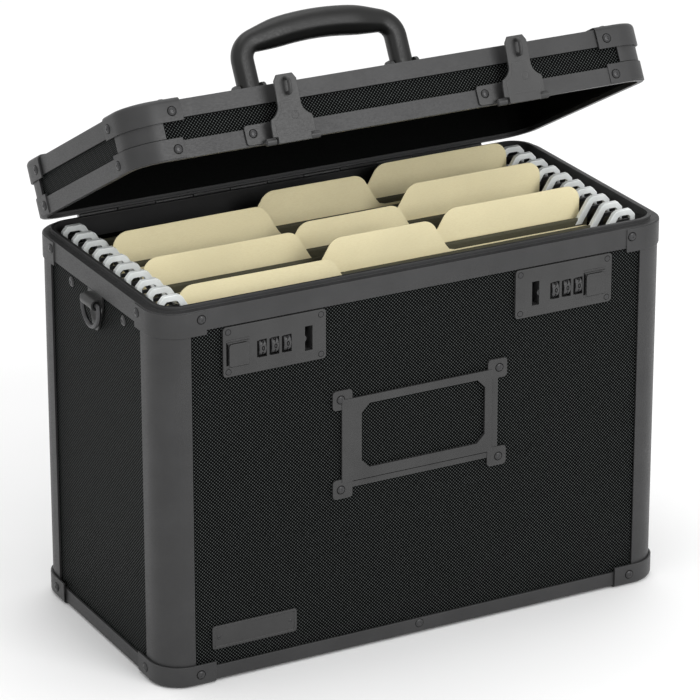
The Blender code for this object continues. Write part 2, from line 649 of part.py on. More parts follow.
def make_label_holder(case):
    """The riveted label holder: a stepped frame with four ears round a window."""
    back = -HALF_D + PANEL_OUT - GAP
    half = (LABEL_SIZE[0] / 2, LABEL_SIZE[1] / 2)
    low, high = LABEL_Z - half[1], LABEL_Z + half[1]
    flange = block((-half[0], back - 0.9, low), (half[0], back, high))
    face = block((-half[0], back - 1.7, low + 4.3), (half[0] - 4.4, back - 0.5, high))
    ears = []
    for side in (-1, 1):
        for corner in (low, high):
            x = side * (half[0] - 0.5)
            ears.append(slab((x - 6.6, back - 1.3, corner - 6.2), (x + 6.6, back, corner + 6.2), 2, 2,
                             axis=1))
    window = slab((-40.8, back - 5, low + 11), (44.7, back + 5, high - 5), 5.5, 1, axis=1)
    piece("label_holder", flange, "hardware", case, join=(face, *ears), then_cut=(window,))
    x0, x1, z0, z1 = NAME_PLATE
    plate = slab((x0, back - 1.2, z0), (x1, back, z1), 1.5, 2, axis=1)
    field = slab((x0 + 1.6, back - 2, z0 + 1.6), (x1 - 1.6, back - 0.8, z1 - 1.6), 1, 1, axis=1)
    piece("name_plate", plate, "hardware", case, cut=(field,))


def make_strap_ring(side, hand, case):
    """A folded clip on the side wall, and the D-ring that swings in it."""
    wall = HALF_W - PANEL_OUT + GAP
    axis_x = HALF_W - PANEL_OUT + RING_STANDOFF
    x = sorted((side * wall, side * (wall + 1.3)))
    shape = [(-10, RING_Z + 5.6), (-10, RING_Z - 3), (-5, RING_Z - 14),
             *arc((0, RING_Z - 14), 5, 180, 360, 6)[1:-1], (5, RING_Z - 14), (10, RING_Z - 3),
             (10, RING_Z + 5.6)]
    plate = outline(shape, *x, axis=0)
    tube_x = side * axis_x
    roll = cylinder((tube_x, 0, RING_Z), 3.5, 16, 1, 16)
    bridge_x = sorted((side * (wall + 0.3), tube_x))
    bridge = block((bridge_x[0], -8, RING_Z + 1.4), (bridge_x[1], 8, RING_Z + 3.4))
    bore = cylinder((tube_x, 0, RING_Z), 2.2, 30, 1, 14)
    piece(f"ring_clip_{hand}", plate, "hardware", case, join=(roll, bridge), then_cut=(bore,))
    ring = Body(f"ring_{hand}", (tube_x, 0, RING_Z), case)
    bow = [(11.5, 0), (11.5, -3), *arc((0, -4), 11.5, 0, -180, 10)[1:-1], (-11.5, -3), (-11.5, 0)]
    bar = [(-9, 0), (0, 0), (9, 0)]
    points = [(tube_x, y, RING_Z + z) for y, z in bow + bar]
    piece(f"d_ring_{hand}", tube(points, RING_WIRE, 2, closed=True), "steel", ring)


def make_rail(side, hand, case):
    """The strip inside a side wall that the folder hooks hang on."""
    wall = HALF_W - PANEL_IN - GAP
    shelf = RAIL_TOP - 7.5
    section = [(wall, shelf - 14), (wall, shelf + 1.2), (RAIL_X + 0.7, shelf + 1.2),
               (RAIL_X + 0.7, RAIL_TOP), (RAIL_X - 0.7, RAIL_TOP), (RAIL_X - 0.7, shelf),
               (wall - 1.2, shelf), (wall - 1.2, shelf - 14)]
    rail = outline([(side * x, z) for x, z in section], -RAIL_REACH, RAIL_REACH, axis=1)
    piece(f"file_rail_{hand}", rail, "steel", case)


def make_folder(count, case):
    """One hanging folder with its files, as the plain solid that it fills.

    All but the first also carry a file in front of their front flap.
    """
    y = FOLDER_FIRST_Y + FOLDER_PITCH * count
    half = SHEET_SPREAD / 2 + FOLDER_MARGIN
    front = half + FRONT_FILE if count else half
    folder = Body(f"folder_{count + 1}", (0, y, RAIL_TOP), case)
    section = [(y - front, RAIL_TOP + 3), (y - FOLD_HALF, FOLDER_BOTTOM),
               (y + FOLD_HALF, FOLDER_BOTTOM), (y + half, RAIL_TOP + 3)]
    pocket = outline(section, -FOLDER_HALF_WIDTH, FOLDER_HALF_WIDTH, axis=0)
    hooks = block((-HOOK_HALF_WIDTH, y - half, RAIL_TOP + GAP), (HOOK_HALF_WIDTH, y + half, HOOK_TOP))
    tabs = block((-FOLDER_HALF_WIDTH + 0.2, y - front + 0.2, RAIL_TOP + 2),
                 (FOLDER_HALF_WIDTH - 0.2, y + half - 0.2, TAB_TOP))
    piece(f"folder_{count + 1}", pocket, "paper", folder, join=(hooks, tabs))


clear_scene()
PARTS = new_collection("locking_file_tote")
CUTTERS = new_collection("cutters")


def main():
    case = Body("case", (0, 0, 0))
    case.empty.location.y = -STANCE * MM
    lid = Body("lid", (0, HINGE_Y, RIM_TOP), case, tilt=-LID_OPEN)
    make_case_panels(case)
    make_case_trim(case)
    make_lid(lid)
    make_hinge(case, lid)
    for hand, lock in LOCKS.items():
        make_lock(hand, lock, case)
        make_hasp(hand, lock, lid)
    make_handle(lid)
    make_label_holder(case)
    for side, hand in ((-1, "left"), (1, "right")):
        make_strap_ring(side, hand, case)
        make_rail(side, hand, case)
    for count in range(FOLDER_COUNT):
        make_folder(count, case)


main()
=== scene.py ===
"""Looks for the portable locking file tote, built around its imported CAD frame.

Pieces are drawn in millimetres as the case stands with its lid shut: x to the right, y from
the front (negative) to the back, z up from the floor. CASE, LID and HASP matrices then take
them to the row frame, in metres, with the lid open as it is at rest.
"""
import json
import math

import bmesh
import bpy
from mathutils import Matrix, Vector


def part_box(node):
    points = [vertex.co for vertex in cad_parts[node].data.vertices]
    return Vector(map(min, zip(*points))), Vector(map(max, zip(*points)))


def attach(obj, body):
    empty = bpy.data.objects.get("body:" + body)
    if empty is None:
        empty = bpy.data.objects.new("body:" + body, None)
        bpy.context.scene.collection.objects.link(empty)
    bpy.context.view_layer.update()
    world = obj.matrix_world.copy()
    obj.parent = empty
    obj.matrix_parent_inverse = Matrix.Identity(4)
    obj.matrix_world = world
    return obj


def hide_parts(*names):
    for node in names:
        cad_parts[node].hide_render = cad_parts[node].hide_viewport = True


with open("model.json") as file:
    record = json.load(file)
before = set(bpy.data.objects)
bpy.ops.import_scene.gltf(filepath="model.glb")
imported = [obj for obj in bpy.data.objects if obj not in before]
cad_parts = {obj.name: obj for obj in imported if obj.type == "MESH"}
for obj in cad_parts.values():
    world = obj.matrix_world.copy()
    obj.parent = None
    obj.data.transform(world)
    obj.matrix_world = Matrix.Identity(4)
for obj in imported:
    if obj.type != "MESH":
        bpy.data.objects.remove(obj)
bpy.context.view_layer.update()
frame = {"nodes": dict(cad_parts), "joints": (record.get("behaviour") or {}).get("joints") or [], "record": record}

MM = 0.001
X, Y = 0, 1
HANDS = ("left", "right")
JOINTS = {joint["name"]: joint for joint in frame["joints"]}


# --- Where things are, from the CAD frame -------------------------------------------------

def turn_about(point, degrees):
    """A turn about the X direction through a point."""
    shift = Matrix.Translation(point)
    return shift @ Matrix.Rotation(math.radians(degrees), 4, "X") @ shift.inverted()


def drawn(node, place):
    """A CAD node's lowest and highest corners in a drawing's millimetres."""
    back = place.inverted()
    points = [back @ v.co for v in frame["nodes"][node].data.vertices]
    low = Vector([min(p[axis] for p in points) for axis in range(3)])
    high = Vector([max(p[axis] for p in points) for axis in range(3)])
    return low, high


front_left, back_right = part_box("post_front_left"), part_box("post_back_right")
MIDDLE_Y = (front_left[0].y + back_right[1].y) / 2
CASE = Matrix.Translation((0, MIDDLE_Y, 0)) @ Matrix.Scale(MM, 4)

# The hinge turns about -X, so its limit with the lid shut is the turn about X from shut to rest.
LID_HINGE = JOINTS["lid_hinge"]
LID_ANGLE = LID_HINGE["range_deg"][0]
LID = turn_about(Vector(LID_HINGE["pos_m"]), LID_ANGLE) @ CASE

HALF_W = back_right[1].x / MM
HALF_D = (back_right[1].y - MIDDLE_Y) / MM
RIM_TOP = LID_HINGE["pos_m"][2] / MM
LID_TOP = drawn("lid_top_frame", LID)[1].z
RAIL_TOP = drawn("file_rail_left", CASE)[1].z
PLATE_FACE = drawn("lock_left", CASE)[0].y

# A hasp is drawn standing straight up, half a turn from shut.
HASP_PIN = {}
HASP = {}
for hand in HANDS:
    hasp_hinge = JOINTS[f"hasp_{hand}_hinge"]
    HASP_PIN[hand] = LID.inverted() @ Vector(hasp_hinge["pos_m"])
    HASP[hand] = LID @ turn_about(HASP_PIN[hand], 180 + hasp_hinge["range_deg"][0])


# --- Materials ----------------------------------------------------------------------------

class Graph:
    """A Principled material and short ways to build its nodes."""

    def __init__(self, name, colour, roughness, metallic=0.0):
        self.material = bpy.data.materials.new(name)
        self.material.use_nodes = True
        self.material.diffuse_color = (*colour, 1)
        self.tree = self.material.node_tree
        self.shader = self.tree.nodes["Principled BSDF"]
        self.shader.inputs["Base Color"].default_value = (*colour, 1)
        self.shader.inputs["Roughness"].default_value = roughness
        self.shader.inputs["Metallic"].default_value = metallic

    def node(self, kind, settings=None, **inputs):
        """A node with its settings and inputs, whose names have _ for a space."""
        made = self.tree.nodes.new(kind)
        for key, value in (settings or {}).items():
            setattr(made, key, value)
        for key, value in inputs.items():
            self.feed(made.inputs[key.replace("_", " ")], value)
        return made

    def feed(self, socket, value):
        """Link a socket to another's output, or set its value."""
        if isinstance(value, bpy.types.NodeSocket):
            self.tree.links.new(value, socket)
        else:
            socket.default_value = value

    def maths(self, operation, *values):
        """A Math node's output."""
        made = self.node("ShaderNodeMath", {"operation": operation})
        for socket, value in zip(made.inputs, values):
            self.feed(socket, value)
        return made.outputs[0]

    def vector(self, operation, *values):
        """A Vector Math node."""
        made = self.node("ShaderNodeVectorMath", {"operation": operation})
        for socket, value in zip(made.inputs, values):
            self.feed(socket, value)
        return made

    def mix(self, factor, first, second):
        """A colour between two colours."""
        made = self.node("ShaderNodeMix", {"data_type": "RGBA"})
        self.feed(made.inputs[0], factor)
        for socket, value in ((made.inputs[6], first), (made.inputs[7], second)):
            self.feed(socket, value if isinstance(value, bpy.types.NodeSocket) else (*value, 1))
        return made.outputs[2]

    def ramp(self, value, low, high, start=0.0, end=1.0):
        """A value spread smoothly from one range to another."""
        made = self.node("ShaderNodeMapRange", {"interpolation_type": "SMOOTHSTEP"})
        for socket, number in zip(made.inputs, (value, low, high, start, end)):
            self.feed(socket, number)
        return made.outputs[0]

    def noise(self, scale, detail=3.0, stretch=(1, 1, 1), rough=0.55):
        """Noise over the rest position, its scale per millimetre."""
        point = self.vector("MULTIPLY", self.place(), stretch).outputs[0]
        return self.node("ShaderNodeTexNoise", Vector=point, Scale=scale, Detail=detail,
                         Roughness=rough).outputs["Fac"]

    def place(self):
        """The rest position in the row frame, in millimetres."""
        made = self.vector("SCALE", self.node("ShaderNodeTexCoord").outputs["Object"])
        made.inputs["Scale"].default_value = 1 / MM
        return made.outputs[0]

    def normal(self):
        """The rest normal in the row frame."""
        return self.node("ShaderNodeTexCoord").outputs["Normal"]

    def bump(self, height, strength, distance):
        """Relief, its depth in millimetres."""
        relief = self.node("ShaderNodeBump", Height=height, Strength=strength,
                           Distance=distance * MM)
        self.feed(self.shader.inputs["Normal"], relief.outputs[0])

    def set(self, name, value):
        """Feed one of the Principled shader's inputs."""
        self.feed(self.shader.inputs[name], value)


def shade(colour, amount):
    """A darker or lighter version of a colour."""
    return tuple(min(1.0, part * amount) for part in colour)


def coated_metal(name, colour, roughness, metallic, grain=0.05):
    """Powder-coated or painted metal: faint orange peel, cloudy gloss, edges paler with wear and painted
    highlight.
    """
    g = Graph(name, colour, roughness, metallic)
    g.set("Specular IOR Level", 0.35)
    clouds = g.noise(0.035, 4)
    specks = g.noise(2.6, 2)
    scuffs = g.noise(0.5, 5, (1, 1, 4))
    tint = g.mix(g.ramp(clouds, 0.3, 0.7), shade(colour, 0.9), shade(colour, 1.1))
    tint = g.mix(g.ramp(specks, 0.62, 0.8, 0, 0.35), tint, shade(colour, 1.5))
    # Paler edges: partly worn paint, partly a painted highlight along the edges, patchy with the scuffs.
    edge = g.node("ShaderNodeBevel", {"samples": 4}, Radius=0.5 * MM).outputs[0]
    flat = g.node("ShaderNodeNewGeometry").outputs["Normal"]
    wear_and_highlight = g.ramp(g.vector("DOT_PRODUCT", edge, flat).outputs["Value"], 0.999, 0.93)
    wear_and_highlight = g.maths("MULTIPLY", wear_and_highlight, g.ramp(scuffs, 0.35, 0.65, 0.15, 0.6))
    g.set("Base Color", g.mix(wear_and_highlight, tint, shade(colour, 2.1)))
    g.set("Roughness", g.ramp(scuffs, 0.3, 0.75, roughness - 0.06, roughness + 0.1))
    g.bump(specks, 0.35, grain)
    return g.material


WEAVE_PITCH = 2.2
SQUARE_ON = 0.7


def laminate(name, untilt=0.0):
    """Black laminate embossed with a fine diagonal weave outside, its raised crests painted paler as highlights,
    and plain lining inside.

    The lid's is turned back about the hinge, so that its faces line up with the axes.
    """
    hinge = Vector(LID_HINGE["pos_m"]) / MM
    shift = hinge - Matrix.Rotation(untilt, 3, "X") @ hinge
    g = Graph(name, (0.012, 0.013, 0.0128), 0.45)
    g.set("IOR", 1.08)
    turn = (untilt, 0, 0)
    point = g.node("ShaderNodeMapping", Vector=g.place(), Location=shift, Rotation=turn).outputs[0]
    normal = g.node("ShaderNodeMapping", Vector=g.normal(), Rotation=turn).outputs[0]
    x, y, z = g.node("ShaderNodeSeparateXYZ", Vector=point).outputs
    normal_x, _, normal_z = g.node("ShaderNodeSeparateXYZ", Vector=normal).outputs
    sideways = g.maths("GREATER_THAN", g.maths("ABSOLUTE", normal_x), SQUARE_ON)
    level = g.maths("GREATER_THAN", g.maths("ABSOLUTE", normal_z), SQUARE_ON)
    across = g.maths("ADD", g.maths("MULTIPLY", y, sideways),
                   g.maths("MULTIPLY", x, g.maths("SUBTRACT", 1.0, sideways)))
    along = g.maths("ADD", g.maths("MULTIPLY", y, level),
                  g.maths("MULTIPLY", z, g.maths("SUBTRACT", 1.0, level)))

    waves = []
    for operation in ("ADD", "SUBTRACT"):
        phase = g.maths("MULTIPLY", g.maths(operation, across, along), 2 * math.pi / WEAVE_PITCH)
        waves.append(g.ramp(g.maths("COSINE", phase), -1.0, 1.0))
    pit = g.maths("MULTIPLY", *waves)
    ridge = g.maths("SUBTRACT", 1.0, g.maths("MAXIMUM", g.maths("MULTIPLY", waves[0], 0.45), pit))
    height = g.maths("SUBTRACT", ridge, g.maths("MULTIPLY", pit, 0.8))
    fuzz = g.noise(1.4, 3)

    # The paler colour on the weave's crests is a painted highlight on the raised threads.
    dark, painted_highlight = (0.0008, 0.0009, 0.0009), (0.075, 0.081, 0.079)
    crest = g.maths("MULTIPLY", g.ramp(waves[0], 0.62, 0.22), g.ramp(waves[1], 0.5, 0.1))
    threads = g.mix(crest, dark, painted_highlight)
    threads = g.mix(g.ramp(fuzz, 0.35, 0.8, 0, 0.5), threads, shade(dark, 2.0))
    lining_dark, lining_pale = (0.0022, 0.0025, 0.0023), (0.004, 0.0044, 0.0041)
    lining = g.mix(g.ramp(g.noise(0.9, 4), 0.35, 0.7), lining_dark, lining_pale)
    outward = g.vector("SUBTRACT", point, (0, MIDDLE_Y / MM, RIM_TOP / 2)).outputs[0]
    outer = g.maths("GREATER_THAN", g.vector("DOT_PRODUCT", outward, normal).outputs["Value"], 0.0)
    g.set("Base Color", g.mix(outer, lining, threads))
    g.set("Roughness", g.ramp(g.maths("MULTIPLY", pit, outer), 0.0, 0.8, 0.4, 0.62))
    relief = g.maths("ADD", g.maths("MULTIPLY", height, outer), g.maths("MULTIPLY", fuzz, 0.25))
    g.bump(relief, 0.75, 0.3)
    return g.material


def moulded_plastic(name, colour, roughness, grain, scale=1.1, shine=0.5):
    """Moulded plastic with a fine leathery grain."""
    g = Graph(name, colour, roughness)
    g.set("Specular IOR Level", shine)
    cells = g.node("ShaderNodeTexVoronoi", {"feature": "SMOOTH_F1"}, Vector=g.place(), Scale=scale,
                   Smoothness=0.6).outputs["Distance"]
    clouds = g.noise(0.05, 3)
    g.set("Base Color", g.mix(g.ramp(clouds, 0.3, 0.7), shade(colour, 0.88), shade(colour, 1.12)))
    g.set("Roughness", g.ramp(g.noise(0.7, 4), 0.3, 0.7, roughness - 0.05, roughness + 0.07))
    g.bump(cells, 0.3, grain)
    return g.material


def bare_metal(name, colour, roughness, stretch):
    """Metal with fine lines along one direction."""
    g = Graph(name, colour, roughness, 0.9)
    lines = g.noise(3.0, 5, stretch)
    g.set("Base Color", g.mix(g.ramp(lines, 0.3, 0.7), shade(colour, 0.75), shade(colour, 1.15)))
    g.set("Roughness", g.ramp(lines, 0.3, 0.7, roughness - 0.08, roughness + 0.1))
    g.bump(lines, 0.25, 0.03)
    return g.material


def card(name, colour, deep):
    """Folder stock: cloudy tone, short fibres and faint flecks."""
    roughness = 0.78
    g = Graph(name, colour, roughness)
    clouds = g.noise(0.02, 4)
    fibres = g.noise(1.3, 6, (0.35, 1, 1.6), 0.7)
    flecks = g.noise(2.4, 2)
    tint = g.mix(g.ramp(clouds, 0.3, 0.7), colour, shade(colour, 0.93))
    tint = g.mix(g.ramp(fibres, 0.35, 0.75, 0, 0.4), tint, deep)
    tint = g.mix(g.ramp(flecks, 0.68, 0.76, 0, 0.45), tint, deep)
    g.set("Base Color", tint)
    g.set("Roughness", g.ramp(fibres, 0.3, 0.7, roughness - 0.05, roughness + 0.08))
    g.bump(fibres, 0.35, 0.06)
    return g.material


MATERIALS = {
    "trim": coated_metal("satin_grey_trim", (0.036, 0.036, 0.0365), 0.44, 0.2),
    "hardware": coated_metal("painted_hardware", (0.039, 0.039, 0.039), 0.4, 0.2, 0.03),
    "rivet": coated_metal("rivet_heads", (0.042, 0.042, 0.043), 0.32, 0.4, 0.02),
    "laminate": laminate("woven_laminate"),
    "lid_laminate": laminate("woven_laminate_lid", -math.radians(LID_ANGLE)),
    "handle": moulded_plastic("handle_plastic", (0.0095, 0.0095, 0.0092), 0.36, 0.04, shine=0.33),
    "dial": moulded_plastic("dial_plastic", (0.034, 0.034, 0.0345), 0.5, 0.01, 2.0),
    # Dark ink for the numerals, also used as painted shade under the rivets, in the lock's gaps and along the
    # label's step.
    "print_and_shade": moulded_plastic("print_and_painted_shade", (0.0025, 0.0025, 0.0025), 0.6, 0.01, 3.0, 0.04),
    "steel": bare_metal("rail_steel", (0.25, 0.25, 0.245), 0.36, (0.05, 1, 1)),
    "ring": bare_metal("ring_steel", (0.085, 0.085, 0.087), 0.4, (1, 1, 0.2)),
    "manila": card("manila_card", (1.0, 0.90, 0.58), (0.84, 0.72, 0.41)),
    "olive": card("olive_card", (0.075, 0.070, 0.040), (0.035, 0.033, 0.019)),
    "hook": moulded_plastic("hook_plastic", (0.82, 0.85, 0.84), 0.36, 0.02, 2.2),
}


# --- Making pieces ------------------------------------------------------------------------

def add(name, bm, place, body, finish, angle=35, bevel=0.0):
    """A finished piece from a mesh in drawing millimetres, riding on a body."""
    bmesh.ops.recalc_face_normals(bm, faces=bm.faces)
    mesh = bpy.data.meshes.new(name)
    moved(bm, place).to_mesh(mesh)
    bm.free()
    mesh.shade_smooth()
    mesh.set_sharp_from_angle(angle=math.radians(angle))
    mesh.materials.append(MATERIALS[finish])
    obj = bpy.data.objects.new(name, mesh)
    bpy.context.scene.collection.objects.link(obj)
    if bevel:
        soften(obj, bevel)
    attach(obj, body)
    return obj


def soften(obj, width, angle=35):
    """Round an object's edges, keeping its flats flat."""
    bevel = obj.modifiers.new("rounded edges", "BEVEL")
    bevel.width = width * MM
    bevel.segments = 2
    bevel.limit_method = "ANGLE"
    bevel.angle_limit = math.radians(angle)
    bevel.use_clamp_overlap = False
    bevel.harden_normals = True


def dress(node, finish, bevel):
    """Give a CAD node its finish, with its facets welded and its edges rounded."""
    obj = frame["nodes"][node]
    obj.data.materials.clear()
    obj.data.materials.append(MATERIALS[finish])
    custom = obj.data.attributes.get("custom_normal")
    if custom:
        obj.data.attributes.remove(custom)
    obj.data.shade_smooth()
    weld = obj.modifiers.new("weld", "WELD")
    weld.merge_threshold = 0.005 * MM
    if bevel:
        soften(obj, bevel, 28)
    else:
        obj.data.shade_flat()


def merge(target, source):
    """Add one mesh to another."""
    mesh = bpy.data.meshes.new("part")
    source.to_mesh(mesh)
    source.free()
    target.from_mesh(mesh)
    bpy.data.meshes.remove(mesh)


def moved(bm, matrix):
    """The same mesh, taken through a matrix."""
    bmesh.ops.transform(bm, matrix=matrix, verts=bm.verts)
    return bm


def block(low, high, radius):
    """A box with rounded edges."""
    low, high = Vector(low), Vector(high)
    bm = bmesh.new()
    matrix = Matrix.Translation((low + high) / 2) @ Matrix.Diagonal((*(high - low), 1))
    bmesh.ops.create_cube(bm, size=1, matrix=matrix)
    bmesh.ops.bevel(bm, geom=list(bm.edges), offset=radius, segments=2, profile=0.5,
                    affect="EDGES", clamp_overlap=True)
    return bm


def turned(profile, steps=20):
    """A solid of revolution about Z from (radius, height) points that start and end on the axis."""
    bm = bmesh.new()
    rings = []
    turns = [2 * math.pi * k / steps for k in range(steps)]
    for radius, height in profile:
        if radius:
            rings.append([bm.verts.new((radius * math.cos(turn), radius * math.sin(turn), height))
                          for turn in turns])
        else:
            rings.append([bm.verts.new((0, 0, height))])
    for first, second in zip(rings, rings[1:]):
        for k in range(steps):
            corners = [first[k % len(first)], first[(k + 1) % len(first)],
                       second[(k + 1) % len(second)], second[k % len(second)]]
            bm.faces.new(list(dict.fromkeys(corners)))
    return bm


def prism(points, low, high, axis):
    """A flat outline given by its two other axes in X, Y, Z order, thickened along an axis."""
    bm = bmesh.new()
    others = [k for k in range(3) if k != axis]

    def ring(level):
        found = []
        for u, v in points:
            co = [0.0, 0.0, 0.0]
            co[axis], co[others[0]], co[others[1]] = level, u, v
            found.append(bm.verts.new(co))
        return found

    first, second = ring(low), ring(high)
    bm.faces.new(first)
    bm.faces.new(second)
    for k in range(len(points)):
        j = (k + 1) % len(points)
        bm.faces.new((first[k], first[j], second[j], second[k]))
    return bm


def arc(centre, radius, start, end, steps=6):
    """Points on an arc, angles in degrees."""
    found = []
    for step in range(steps + 1):
        angle = math.radians(start + (end - start) * step / steps)
        found.append((centre[0] + radius * math.cos(angle), centre[1] + radius * math.sin(angle)))
    return found


def headings(path):
    """Each point of a path in a plane, with the direction that the path has there."""
    for count, point in enumerate(path):
        before = path[max(count - 1, 0)]
        after = path[min(count + 1, len(path) - 1)]
        yield point, Vector((after[0] - before[0], after[1] - before[1])).normalized()


def loft(sections):
    """A skin through rings of points, with its ends filled."""
    bm = bmesh.new()
    rings = [[bm.verts.new(point) for point in section] for section in sections]
    for first, second in zip(rings, rings[1:]):
        for k in range(len(first)):
            j = (k + 1) % len(first)
            bm.faces.new((first[k], first[j], second[j], second[k]))
    bm.faces.new(rings[0])
    bm.faces.new(rings[-1])
    return bm


# --- Rivets -------------------------------------------------------------------------------

# The head's outline as shares of its radius and height, its depth into what it holds, and the
# dark disc of painted shade round it.
RIVET_SHAPE = ((0, 0.62), (0.24, 0.62), (0.34, 1.0), (0.58, 0.96), (0.84, 0.62), (1.0, 0.18))
RIVET_ROOT = -0.3
SHADE_DISC_HEIGHT = 0.06
SHADE_DISC_SPREAD = 1.14

# The usual radius and height, and places: in from the outer corner, or apart from the middle,
# and up or down from the edge of what a rivet holds.
TRIM_RIVET = (2.6, 1.0)
RIM_IN, RIM_DOWN = 27.5, 5.6
FOOT_IN, FOOT_UP = 23.5, 7.6
FRAME_DOWN = 3.4
LID_CAP_IN, LID_CAP_DOWN = 27.5, 6.4
LID_RIM_IN, LID_RIM_UP = 26.5, 6.2
LID_TOP_IN, LID_TOP_BACK = 25.0, 5.5
RAIL_APART, RAIL_DOWN = 36.5, 19.5


def rivets(name, heads, place, body, radius, height):
    """Pop rivets on one body, each a (position, outward direction) pair, on dark discs of painted shade."""
    dome = [(radius * share, height * rise) for share, rise in RIVET_SHAPE]
    dome += [(radius, RIVET_ROOT), (0, RIVET_ROOT)]
    edge = radius * SHADE_DISC_SPREAD
    shade_disc = [(0, SHADE_DISC_HEIGHT), (edge, SHADE_DISC_HEIGHT), (edge, RIVET_ROOT), (0, RIVET_ROOT)]
    # Each head sits on a dark disc of painted shade round the rivet.
    for suffix, profile, finish in (("", dome, "rivet"), ("_painted_shade", shade_disc, "print_and_shade")):
        bm = bmesh.new()
        for position, outward in heads:
            aim = Vector(outward).to_track_quat("Z", "Y").to_matrix().to_4x4()
            merge(bm, moved(turned(profile), Matrix.Translation(position) @ aim))
        add(name + suffix, bm, place, body, finish, 50)


def mirrored(distance):
    """A distance to both sides of the middle."""
    return -distance, distance


def inside(low, high, gap):
    """The two places a gap in from a pair of limits."""
    return low + gap, high - gap


def heads_at(xs, ys, zs, outward):
    """A head at each combination of places, all facing one way."""
    return [((x, y, z), outward) for x in xs for y in ys for z in zs]


def corner_heads(inset, z, proud):
    """A rivet on each wall at each corner, the inset measured from the outer corner."""
    heads = []
    for side in (-1, 1):
        for end in (-1, 1):
            heads.append(((side * (HALF_W - inset), end * (HALF_D + proud), z), (0, end, 0)))
            heads.append(((side * (HALF_W + proud), end * (HALF_D - inset), z), (side, 0, 0)))
    return heads


def make_trim_rivets():
    """Rivets through the corner brackets, the caps and the foot frame."""
    bracket_proud = drawn("case_rim", CASE)[1].x - HALF_W
    cap_proud = drawn("foot_cap_back_right", CASE)[1].x - HALF_W
    rim = corner_heads(RIM_IN, RIM_TOP - RIM_DOWN, bracket_proud)
    rivets("rim_rivets", rim, CASE, "case", *TRIM_RIVET)
    foot = corner_heads(FOOT_IN, FOOT_UP, cap_proud)
    rivets("foot_rivets", foot, CASE, "case", *TRIM_RIVET)
    frame_z = drawn("foot_frame", CASE)[1].z - FRAME_DOWN
    middles = [((0, end * HALF_D, frame_z), (0, end, 0)) for end in (-1, 1)]
    rivets("foot_frame_rivets", middles, CASE, "case", 2.5, 0.6)
    lid_cap = corner_heads(LID_CAP_IN, LID_TOP - LID_CAP_DOWN, cap_proud)
    rivets("lid_cap_rivets", lid_cap, LID, "lid", *TRIM_RIVET)
    lid_rim = corner_heads(LID_RIM_IN, RIM_TOP + LID_RIM_UP, bracket_proud)
    rivets("lid_rim_rivets", lid_rim, LID, "lid", *TRIM_RIVET)
    xs, ys = mirrored(HALF_W - LID_TOP_IN), mirrored(HALF_D - LID_TOP_BACK)
    rivets("lid_top_rivets", heads_at(xs, ys, [LID_TOP + cap_proud], (0, 0, 1)), LID, "lid", 2.2, 0.8)


def make_case_rivets():
    """Rivets through the rails, the locks, the label holder and the name plate."""
    wall = -drawn("left_panel", CASE)[0].x
    z = RIM_TOP - RAIL_DOWN
    rail = [((side * wall, y, z), (side, 0, 0)) for side in (-1, 1) for y in mirrored(RAIL_APART)]
    rivets("rail_rivets", rail, CASE, "case", 3.3, 0.9)

    front = (0, -1, 0)
    for hand in HANDS:
        low, high = drawn(f"lock_{hand}", CASE)
        heads = heads_at(inside(low.x, high.x, 3.3), [PLATE_FACE], inside(low.z, high.z, 3.2), front)
        rivets(f"lock_rivets_{hand}", heads, CASE, "case", 1.7, 0.2)

    low, high = drawn("label_holder", CASE)
    heads = heads_at(inside(low.x, high.x, 5.4), [-HALF_D + 0.2], inside(low.z, high.z, 5.8), front)
    rivets("label_rivets", heads, CASE, "case", 2.5, 0.8)
    low, high = drawn("name_plate", CASE)
    heads = heads_at(inside(low.x, high.x, 4.2), [low.y + 0.8], [(low.z + high.z) / 2], front)
    rivets("name_plate_pins", heads, CASE, "case", 1.4, 0.8)


def make_lid_rivets(hand):
    """Rivets through one hasp's hinge plate and one handle bracket."""
    pin = HASP_PIN[hand]
    face = drawn(f"hasp_hinge_{hand}", LID)[1].y - 1.2
    heads = [((pin.x - 23.0, face, pin.z + 7.0), (0, -1, 0))]
    rivets(f"hasp_rivets_{hand}", heads, LID, "lid", 2.4, 0.9)
    low, high = drawn(f"handle_bracket_{hand}", LID)
    heads = heads_at(inside(low.x, high.x, 3.4), inside(low.y, high.y, 3.6), [low.z + 1.6], (0, 0, 1))
    rivets(f"bracket_rivets_{hand}", heads, LID, "lid", 1.9, 0.7)


# --- Number wheels ------------------------------------------------------------------------

# A wheel's fields and facets, the grooves between its fields, and its numerals.
WHEEL_FIELDS = 10
WHEEL_STEPS = 120
GROOVE_DEPTH = 0.2
GROOVE_SHARPNESS = 20
NUMERAL_SIZE = 4.0


def numeral(value):
    """A numeral as a thin solid standing in XZ, centred, facing -Y."""
    curve = bpy.data.curves.new("numeral", "FONT")
    curve.body = str(value)
    curve.size = NUMERAL_SIZE
    curve.align_x = "CENTER"
    curve.align_y = "CENTER"
    curve.extrude = 0.04
    curve.resolution_u = 3
    curve.offset = 0.09
    holder = bpy.data.objects.new("numeral", curve)
    bpy.context.scene.collection.objects.link(holder)
    evaluated = holder.evaluated_get(bpy.context.evaluated_depsgraph_get())
    mesh = bpy.data.meshes.new_from_object(evaluated)
    bm = bmesh.new()
    bm.from_mesh(mesh)
    bmesh.ops.remove_doubles(bm, verts=bm.verts, dist=0.001)
    bpy.data.objects.remove(holder, do_unlink=True)
    bpy.data.meshes.remove(mesh)
    bpy.data.curves.remove(curve)
    return moved(bm, Matrix.Rotation(math.pi / 2, 4, "X"))


